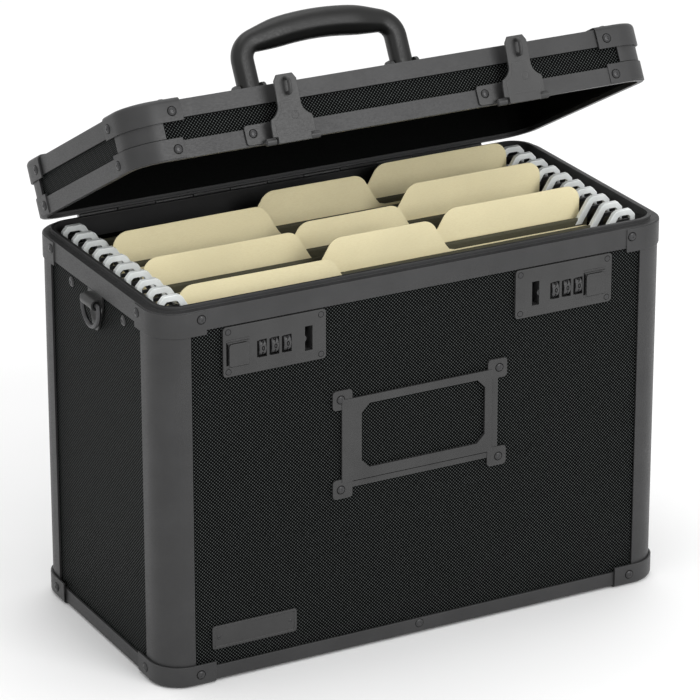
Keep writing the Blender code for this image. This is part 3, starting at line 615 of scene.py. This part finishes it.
def make_dial(hand, count):
    """A number wheel with notched rims, a groove between its fields, and numerals."""
    node = f"dial_{hand}_{count}"
    low, high = drawn(node, CASE)
    centre = (low + high) / 2
    radius = (high.z - low.z) / 2 - 0.05
    half = (high.x - low.x) / 2
    # One half's outline: distance from the wheel's middle, and share of its radius.
    rim = [(half, 0.55), (half, 0.93), (half - 0.45, 0.985), (half - 0.9, 0.985), (half - 1.0, 1.0)]
    sections = []
    for x, share in [(-x, share) for x, share in rim] + rim[::-1]:
        ring = []
        for k in range(WHEEL_STEPS):
            angle = 2 * math.pi * k / WHEEL_STEPS
            groove = max(0.0, math.cos(WHEEL_FIELDS * angle + math.pi)) ** GROOVE_SHARPNESS
            reach = radius * share - GROOVE_DEPTH * groove * (share > 0.6)
            ring.append((centre.x + x, centre.y - reach * math.cos(angle),
                         centre.z + reach * math.sin(angle)))
        sections.append(ring)
    wheel = add(f"wheel_{hand}_{count}", loft(sections), CASE, node, "dial", 40)
    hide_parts(node)

    digits = bmesh.new()
    out = Matrix.Translation((0, -radius, 0))
    for value in range(WHEEL_FIELDS):
        turn = Matrix.Rotation(2 * math.pi * value / WHEEL_FIELDS, 4, "X")
        merge(digits, moved(numeral(value), Matrix.Translation(centre) @ turn @ out))
    add(f"numerals_{hand}_{count}", digits, CASE, node, "print_and_shade", 30)


# --- Locks and hasps ----------------------------------------------------------------------

# The ledges round a thumb slide, the dark strips of painted shade in its gaps, and the tongue's turned outline.
LEDGE_HEIGHT = 0.6
SHADE_PROUD = 0.06
SHADE_HALF_HEIGHT = 5.2
TONGUE_SHAPE = [(0, -0.7), (1.9, -0.7), (2.2, -0.4), (2.2, 0.7), (0, 0.7)]


def make_lock_details(hand):
    """Pressed ledges round the thumb slide, painted shade in the gaps beside it and the wheels, and the tongue."""
    face = PLATE_FACE
    dials = [drawn(f"dial_{hand}_{count}", CASE) for count in (1, 2, 3)]
    z = (dials[0][0].z + dials[0][1].z) / 2
    low, high = drawn(f"slide_{hand}", CASE)
    left, right = low.x - 1.2, high.x + 1.0
    ledges = bmesh.new()
    for level, proud in ((high.z + 0.5, 0.55), (high.z + 2.0, 0.35)):
        merge(ledges, block((left, face - proud, level), (right, face + 0.3, level + LEDGE_HEIGHT), 0.2))
    merge(ledges, block((left, face - 0.3, low.z - 1.2), (right, face + 0.3, low.z - 0.7), 0.15))
    add(f"slide_frame_{hand}", ledges, CASE, "case", "hardware", 40)

    # Dark strips painted where shade falls in the gaps beside the slide and the wheels.
    gap_shade = bmesh.new()
    spans = [(left - 0.4, left + 1.0, low.z + 0.6, high.z + 1.2)]
    spans += [(dial_low.x - 1.5, dial_low.x - 0.3, z - SHADE_HALF_HEIGHT, z + SHADE_HALF_HEIGHT)
              for dial_low, _ in dials]
    for start, stop, bottom, top in spans:
        merge(gap_shade, block((start, face - SHADE_PROUD, bottom), (stop, face + 0.2, top), 0.05))
    add(f"lock_painted_gap_shade_{hand}", gap_shade, CASE, "case", "print_and_shade", 40)

    outward = -1 if hand == "left" else 1
    middle = Matrix.Translation((HASP_PIN[hand].x + outward * 3.5, face + 1.2, z + 0.5))
    tongue = moved(turned(TONGUE_SHAPE, 28), middle @ Matrix.Rotation(math.pi / 2, 4, "X"))
    add(f"latch_tongue_{hand}", tongue, CASE, "case", "rivet", 40)


def make_label_details():
    """The shadow line where the label holder's raised face steps down to its flange."""
    low, high = drawn("label_holder", CASE)
    left, right, bottom, top = low.x + 6.6, high.x - 10.6, low.z + 10.4, high.z - 8.0
    front, back, foot = low.y + 0.7, low.y + 1.2, bottom - 0.7
    lines = bmesh.new()
    merge(lines, block((left, front, foot), (right, back, bottom), 0.05))
    merge(lines, block((right - 0.1, front, foot), (right + 0.6, back, top), 0.05))
    add("label_shadow_line", lines, CASE, "case", "print_and_shade", 40)


# From the hasp's pin to its plate, the plate's and the staple's sizes, and turned outlines.
HASP_OFFSET = 1.9
HASP_THICK = 1.6
STAPLE_WIRE = 1.2
STAPLE_BEND = 2.4
STAPLE_REACH = 4.8
KNUCKLE_SHAPE = [(0, -10.7), (1.9, -10.7), (2.2, -10.4), (2.2, 10.4), (1.9, 10.7), (0, 10.7)]
DIMPLE_SHAPE = [(0, -0.04), (1.5, -0.02), (2.1, 0.1), (2.5, 0.1), (2.9, -0.1), (2.9, -0.3), (0, -0.3)]


def staple(pin, front):
    """A hasp's bent wire, standing out of the plate's front."""
    tip, low, high = front - STAPLE_REACH, pin.z + 26.4, pin.z + 35.2
    bend = tip + STAPLE_BEND
    path = [(front + 0.8, low), (front - 1.0, low),
            *arc((bend, low + STAPLE_BEND), STAPLE_BEND, 270, 180, 6),
            *arc((bend, high - STAPLE_BEND), STAPLE_BEND, 180, 90, 6),
            (front - 1.0, high), (front + 0.8, high)]
    sides = 16
    sections = []
    for (y, z), along in headings(path):
        ring = []
        for k in range(sides):
            angle = 2 * math.pi * k / sides
            reach = STAPLE_WIRE * math.cos(angle)
            aside = STAPLE_WIRE * math.sin(angle)
            ring.append((pin.x + aside, y - along.y * reach, z + along.x * reach))
        sections.append(ring)
    return loft(sections)


def make_hasp(hand):
    """One hasp: a flared plate on a knuckle, its pressed panel and dimple, and a bent wire staple."""
    pin = HASP_PIN[hand]
    back = pin.y - HASP_OFFSET
    front = back - HASP_THICK

    def make(part, bm, angle, bevel=0.0):
        return add(f"hasp_{part}_{hand}", bm, HASP[hand], f"hasp_{hand}", "hardware",
                   angle, bevel)

    # Half the plate's outline from its heel up, and the panel's, both from the pin.
    right = [(10.8, -2.0), (10.8, 1.9), (14.0, 2.3), (14.0, 9.0), *arc((16.5, 21.0), 9.0, 250, 190, 8),
             (7.4, 34.5), (5.2, 38.0)]
    outline = [(pin.x + u, pin.z + v) for u, v in right + [(-u, v) for u, v in reversed(right)]]
    plate = make("plate", prism(outline, front, back, Y), 40, 0.35)
    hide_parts(f"hasp_{hand}")

    knuckle_aim = Matrix.Translation(pin) @ Matrix.Rotation(math.pi / 2, 4, "Y")
    make("knuckle", moved(turned(KNUCKLE_SHAPE, 32), knuckle_aim), 40)
    make("staple", staple(pin, front), 50)

    panel = [(-11.2, 3.4), (11.2, 3.4), (11.2, 7.6), *arc((15.2, 20.0), 9.6, 247, 196, 6),
             (5.2, 22.0), (-5.2, 22.0), *arc((-15.2, 20.0), 9.6, -16, -67, 6), (-11.2, 7.6)]
    outline = [(pin.x + u, pin.z + v) for u, v in panel]
    make("panel", prism(outline, front - 0.14, front + 0.2, Y), 40, 0.06)
    dimple_middle = Matrix.Translation((pin.x + 2.2, front - 0.1, pin.z + 13.4))
    dimple = moved(turned(DIMPLE_SHAPE), dimple_middle @ Matrix.Rotation(math.pi / 2, 4, "X"))
    make("dimple", dimple, 50)
    heads = [((pin.x + side * 17.4, pin.y, pin.z), (side, 0, 0)) for side in (1, -1)]
    rivets(f"hasp_pin_heads_{hand}", heads, LID, "lid", 1.5, 0.7)


# --- Handle -------------------------------------------------------------------------------

# Half sizes in the handle's plane and across it, its bends, how the legs swell and end, how
# square its section is, and the creases along the grip.
LEG_HALF, LEG_WIDE = 7.0, 6.0
GRIP_HALF, GRIP_WIDE = 9.3, 9.0
HANDLE_BEND = 12.0
GRIP_ARCH = 4.5
SWELL_START, SWELL_RUN = 4, 24
END_TAPER = (0.72, 0.9, 1.0)
SQUARENESS = 0.8
CREASES = (5.6, 3.82)
CREASE_DEPTH = 0.05
CREASE_WIDTH = 0.16


def handle_path(leg_x, foot, crown):
    """The handle's middle line in XZ, from one foot up over the crown and down to the other."""
    knee = crown - GRIP_ARCH - HANDLE_BEND
    path = [(-leg_x, foot + up) for up in (0.5, 1.6, 4.5, 10, 18)] + [(-leg_x, knee - 3)]
    path += arc((-leg_x + HANDLE_BEND, knee), HANDLE_BEND, 180, 98, 10)
    path += [(x, crown - GRIP_ARCH * (x / (leg_x - HANDLE_BEND)) ** 2) for x in range(-35, 0, 6)]
    return path + [(0, crown)] + [(-x, z) for x, z in reversed(path)]


def make_handle():
    """A moulded grip: round legs that swell into a fuller palm rest."""
    low, high = drawn("handle", LID)
    leg_x = high.x - LEG_HALF
    path = handle_path(leg_x, low.z, high.z - GRIP_HALF)
    sides = 32
    sections = []
    for count, ((x, z), along) in enumerate(headings(path)):
        rise = min(1.0, max(0.0, (leg_x - SWELL_START - abs(x)) / SWELL_RUN))
        swell = rise * rise * (3 - 2 * rise)
        taper = END_TAPER[min(count, len(path) - 1 - count, 2)]
        thick = (LEG_HALF + (GRIP_HALF - LEG_HALF) * swell) * taper
        wide = (LEG_WIDE + (GRIP_WIDE - LEG_WIDE) * swell) * taper
        ring = []
        for k in range(sides):
            angle = 2 * math.pi * k / sides
            crease = 1.0
            for middle in CREASES:
                crease -= CREASE_DEPTH * swell * math.exp(-((angle - middle) / CREASE_WIDTH) ** 2)
            c, s = math.cos(angle), math.sin(angle)
            u = math.copysign(abs(s) ** SQUARENESS, s) * thick * crease
            v = math.copysign(abs(c) ** SQUARENESS, c) * wide * crease
            ring.append((x - along.y * u, -v, z + along.x * u))
        sections.append(ring)
    handle = add("handle_grip", loft(sections), LID, "handle", "handle", 60)
    smooth = handle.modifiers.new("smooth", "SUBSURF")
    smooth.levels = 1
    smooth.render_levels = 1
    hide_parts("handle")


# --- Hanging folders ----------------------------------------------------------------------

# Hanging sheets and the manila files between them. Tabs are spans across the case and
# heights over the rails.
SHEETS = 10
PITCH = 15.0
FIRST_Y = -64.5
SHEET_HALF = 147.0
SHEET_THICK = 0.4
SHEET_DROP = 5.4
SHEET_CURVE = 0.55
FOLD_LEAN = 1.6
FOLD_DEPTH = 9.0
HOOK_TIP = 163.2
CARD_THICK = 0.5
LONG_EDGE = 24
FILE_FOOT = 6
TAB_RISE = 22.0
FRONT_FILE_TOP = 12.4
FRONT_FILE_FOOT = 2.4
TAB_RADIUS = 10.0
TAB_SPANS = ((-147.5, -40.0), (-38.0, 38.0), (48.0, 147.5))
TAB_TOPS = (9.5, 14.5, 15.0, 11.0, 11.0, 15.8, 14.0, 15.8, 15.8)


def ripple(x, z, phase):
    """How far a sheet bows out of its plane at a point, in millimetres."""
    return (0.35 * math.sin(x / 47.0 + phase) + 0.25 * math.sin(x / 23.0 + 2.1 * phase)
            + 0.2 * math.sin(z / 31.0 + phase))


def sheet_solid(outline, y_at, phase):
    """A thin card cut to an outline in XZ, bowed and leaning as y_at(z) says."""
    flat = prism(outline, 0.0, CARD_THICK, Y)
    cut = [e for e in flat.edges if e.calc_length() > LONG_EDGE]
    bmesh.ops.subdivide_edges(flat, edges=cut, cuts=6)
    bmesh.ops.triangulate(flat, faces=[f for f in flat.faces if len(f.verts) > 4],
                          quad_method="BEAUTY", ngon_method="BEAUTY")
    for v in flat.verts:
        v.co.y += y_at(v.co.z) + ripple(v.co.x, v.co.z, phase)
    return flat


def grid_sheet(low, high, y_at, phase):
    """A rectangular card with enough points to bow smoothly."""
    bm = bmesh.new()
    columns, rows = 24, 10
    layers = []
    for depth in (0.0, SHEET_THICK):
        layer = []
        for j in range(rows + 1):
            z = low + (high - low) * j / rows
            row = []
            for i in range(columns + 1):
                x = SHEET_HALF * (2 * i / columns - 1)
                row.append(bm.verts.new((x, y_at(z) + depth + ripple(x, z, phase), z)))
            layer.append(row)
        layers.append(layer)
    front, back = layers
    for j in range(rows):
        for i in range(columns):
            bm.faces.new((front[j][i], front[j][i + 1], front[j + 1][i + 1], front[j + 1][i]))
            bm.faces.new((back[j][i], back[j + 1][i], back[j + 1][i + 1], back[j][i + 1]))
    for i in range(columns):
        for j in (0, rows):
            bm.faces.new((front[j][i], back[j][i], back[j][i + 1], front[j][i + 1]))
    for j in range(rows):
        for i in (0, columns):
            bm.faces.new((front[j][i], front[j + 1][i], back[j + 1][i], back[j][i]))
    return bm


def hook_outline(side):
    """The angular plastic hook end: a frame with an open window, over the rail."""
    points = [(0, -5.0), (0, 5.2), (3.4, 8.9), (12.6, 8.9), (15.2, 7.4), (25.0, -8.0), (19.8, -8.0),
              (12.0, 4.6), (10.8, 5.2), (5.0, 5.2), (3.4, 3.6), (3.4, -5.0)]
    return [(side * (HOOK_TIP - inward), RAIL_TOP + rise) for inward, rise in points]


def rod_outline(side):
    """The end of the steel rod in a sheet's top edge, cranked up into its hook."""
    points = [(136.0, -7.8), (146.0, -7.8), (151.6, 0.4), (161.6, 0.4), (161.6, 2.6), (150.4, 2.6),
              (144.8, -5.6), (136.0, -5.6)]
    return [(side * out, RAIL_TOP + rise) for out, rise in points]


def make_flap(count, body):
    """One sheet of a hanging folder: its card with a folded top edge, its rods and its hooks."""
    y = FIRST_Y + PITCH * count
    bottom = drawn(body, CASE)[0].z + 0.4
    lean = FOLD_LEAN if count % 2 else -FOLD_LEAN
    fold_y = FIRST_Y + PITCH * (count // 2 * 2) + PITCH / 2 + lean
    top = RAIL_TOP - SHEET_DROP

    def y_at(z):
        share = min(1.0, max(0.0, (z - bottom) / (top - bottom)))
        return fold_y + (y - fold_y) * share ** SHEET_CURVE

    flap = grid_sheet(bottom, top, y_at, 0.7 * count)
    edge = top - FOLD_DEPTH
    fold = [(y - 1.3, edge), (y - 1.3, top), *arc((y + 0.2, top + 0.2), 1.5, 180, 0, 8),
            (y + 1.7, edge), (y + 1.2, edge), (y + 1.2, top), (y - 0.8, top), (y - 0.8, edge)]
    merge(flap, prism(fold, -SHEET_HALF, SHEET_HALF, X))
    sheet = add(f"folder_flap_{count + 1}", flap, CASE, body, "olive", 40)
    if count % 2 == 0:
        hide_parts(body)

    rods, hooks = bmesh.new(), bmesh.new()
    for side in (-1, 1):
        merge(rods, prism(rod_outline(side), y - 0.45, y + 0.45, Y))
        merge(hooks, prism(hook_outline(side), y - 1.5, y + 1.9, Y))
    add(f"folder_rod_{count + 1}", rods, CASE, body, "ring", 40)
    add(f"folder_hooks_{count + 1}", hooks, CASE, body, "hook", 30, 0.45)


def manila_outline(count, bottom, shoulder, tab_top):
    """A manila file's back leaf: round corners, and a tab that slopes down to its shoulders."""
    edge, radius = SHEET_HALF - 0.5, TAB_RADIUS
    start, stop = TAB_SPANS[count % len(TAB_SPANS)]
    start, stop = max(start, -edge), min(stop, edge)
    at_left, at_right = start == -edge, stop == edge
    outline = [(-edge, bottom), (edge, bottom)]
    if not at_right:
        outline += [(edge, shoulder - 3), *arc((edge - 3, shoulder - 3), 3, 0, 90, 4),
                    (stop + 13, shoulder), (stop + 9, shoulder + 1.0), (stop + 6.5, shoulder + 4)]
    outline += arc((stop - radius, tab_top - radius), radius, 0 if at_right else 35, 90, 8)
    outline += arc((start + radius, tab_top - radius), radius, 90, 180 if at_left else 145, 8)
    if not at_left:
        outline += [(start - 6.5, shoulder + 4), (start - 9, shoulder + 1.0), (start - 13, shoulder),
                    *arc((3 - edge, shoulder - 3), 3, 90, 180, 4)]
    return outline


def make_manila(count, body, y, foot_y):
    """One manila file: two leaves, the back one with its tab, hanging towards the fold."""
    tab_top = RAIL_TOP + TAB_TOPS[count]
    shoulder = tab_top - TAB_RISE
    bottom = drawn(body, CASE)[0].z + FILE_FOOT
    edge = SHEET_HALF - 0.5
    phase = 1.3 * count + 0.4

    def y_at(z):
        return foot_y + (y - foot_y) * min(1.0, (z - bottom + FILE_FOOT) / (RAIL_TOP - bottom))

    leaf = sheet_solid(manila_outline(count, bottom, shoulder, tab_top), lambda z: y_at(z) + 0.5, phase)
    front = [(-edge, bottom), (edge, bottom), (edge, shoulder - 4), (edge - 1.5, shoulder - 2.5),
             (1.5 - edge, shoulder - 2.5), (-edge, shoulder - 4)]
    merge(leaf, sheet_solid(front, lambda z: y_at(z) - 0.9, phase))
    add(f"manila_folder_{count + 1}", leaf, CASE, body, "manila", 40)


def make_folders():
    """Ten hanging sheets in five bodies, with a manila file in each gap between two sheets."""
    for count in range(SHEETS):
        make_flap(count, f"folder_{count // 2 + 1}")
    for count in range(SHEETS - 1):
        y = FIRST_Y + PITCH * (count + 0.5)
        if count % 2 == 0:
            make_manila(count, f"folder_{count // 2 + 1}", y, y)
        else:
            body_y = y + PITCH
            make_manila(count, f"folder_{(count + 1) // 2 + 1}", body_y - FRONT_FILE_TOP,
                        body_y - FRONT_FILE_FOOT)


# --- CAD nodes ----------------------------------------------------------------------------

def dress_nodes():
    """Finishes for the CAD nodes that show."""
    for part in frame["record"]["subparts"]:
        node, slot = part["node"], part["material_slot"]
        if slot == "laminate":
            dress(node, "lid_laminate" if node.startswith("lid") else "laminate", 0.15)
        elif node.startswith("d_ring"):
            dress(node, "ring", 0.05)
        elif slot in ("trim", "hardware", "steel"):
            dress(node, slot, 0 if node == "label_holder" else 0.2)


# --- Stage --------------------------------------------------------------------------------

# Degrees and metres, and each light's name, place, size and power.
CAMERA_YAW, CAMERA_PITCH = -28.2, 21.92
CAMERA_AIM = Vector((0.0244, 0.0399, 0.1359))
CAMERA_DISTANCE = 2.621
CAMERA_LENS = 212.1
FLOOR_HALF = 12
FLOOR_DROP = 0.0002
LIGHT_AIM = Vector((0, 0, 0.18))
LIGHTS = (("key", (0.5, -1.9, 1.3), 1.2, 24), ("fill", (-1.9, -0.8, 1.0), 1.6, 1.5),
          ("top", (0.1, 0.5, 2.2), 1.8, 16))


def aimed(direction):
    """The rotation that points a camera or light along a direction."""
    return direction.to_track_quat("-Z", "Y").to_euler()


def make_camera():
    """A long lens, down at the front left corner."""
    yaw, pitch = math.radians(CAMERA_YAW), math.radians(CAMERA_PITCH)
    back = Vector((math.sin(yaw) * math.cos(pitch), -math.cos(yaw) * math.cos(pitch), math.sin(pitch)))
    camera = bpy.data.objects.new("camera", bpy.data.cameras.new("camera"))
    camera.location = CAMERA_AIM + back * CAMERA_DISTANCE
    camera.rotation_euler = aimed(-back)
    camera.data.lens = CAMERA_LENS
    camera.data.sensor_width = 36
    camera.data.clip_end = 50
    bpy.context.scene.collection.objects.link(camera)
    bpy.context.scene.camera = camera


def make_floor():
    """A plain white floor."""
    white, whiter = (0.9, 0.9, 0.9), (0.92, 0.92, 0.92)
    g = Graph("white_floor", white, 0.85)
    g.set("Base Color", g.mix(g.ramp(g.noise(0.004, 2), 0.3, 0.7), white, whiter))
    bm = bmesh.new()
    bmesh.ops.create_grid(bm, x_segments=2, y_segments=2, size=FLOOR_HALF)
    mesh = bpy.data.meshes.new("floor")
    bm.to_mesh(mesh)
    bm.free()
    mesh.materials.append(g.material)
    floor = bpy.data.objects.new("floor", mesh)
    floor.location.z = -FLOOR_DROP
    bpy.context.scene.collection.objects.link(floor)


def make_lights():
    """A white surrounding and three soft lights."""
    world = bpy.data.worlds.new("studio")
    world.use_nodes = True
    background = world.node_tree.nodes["Background"]
    background.inputs["Color"].default_value = (1, 1, 1, 1)
    background.inputs["Strength"].default_value = 0.85
    bpy.context.scene.world = world
    for name, place, size, power in LIGHTS:
        light = bpy.data.objects.new(name, bpy.data.lights.new(name, "AREA"))
        light.data.size = size
        light.data.energy = power
        light.location = place
        light.rotation_euler = aimed(LIGHT_AIM - light.location)
        bpy.context.scene.collection.objects.link(light)
    bpy.context.scene.view_settings.view_transform = "Standard"


dress_nodes()
make_trim_rivets()
make_case_rivets()
for hand in HANDS:
    make_lid_rivets(hand)
for hand in HANDS:
    for count in (1, 2, 3):
        make_dial(hand, count)
    make_lock_details(hand)
    make_hasp(hand)
make_label_details()
make_handle()
make_folders()
make_camera()
make_floor()
make_lights()

bpy.context.view_layer.update()
